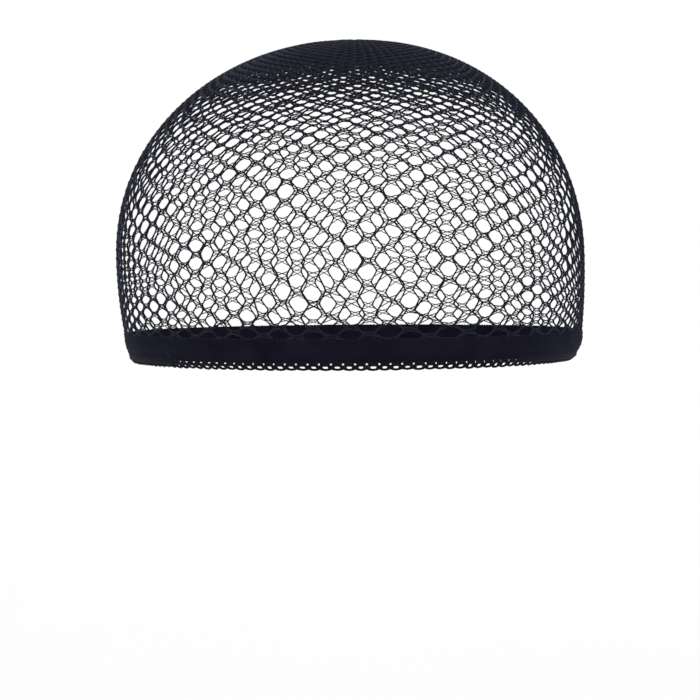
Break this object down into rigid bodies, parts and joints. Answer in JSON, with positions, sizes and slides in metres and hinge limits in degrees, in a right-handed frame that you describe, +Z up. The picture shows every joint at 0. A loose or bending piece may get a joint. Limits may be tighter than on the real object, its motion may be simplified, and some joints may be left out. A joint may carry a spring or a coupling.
{
  "type": "fishnet wig cap",
  "caption": "Worn wig cap: an openwork net dome gathered at the crown, with an elastic band and a looped hem round the mouth.",
  "frame": {"origin": "centre of the head opening, level with the cap's lowest edge", "axes": "+Z up through the crown, -Y towards the brow, +X towards the wearer's left"},
  "size_m": [0.1562, 0.1916, 0.107],
  "materials": {
    "net": "black open knitted nylon thread",
    "gather": "black net drawn into tight pleats",
    "band": "blue-black ribbed elastic knit",
    "hem": "black looped thread"
  },
  "bodies": {
    "root": {"net_crown": "net", "crown_gather": "gather", "elastic_band": "band", "picot_hem": "hem"}
  },
  "joints": []
}
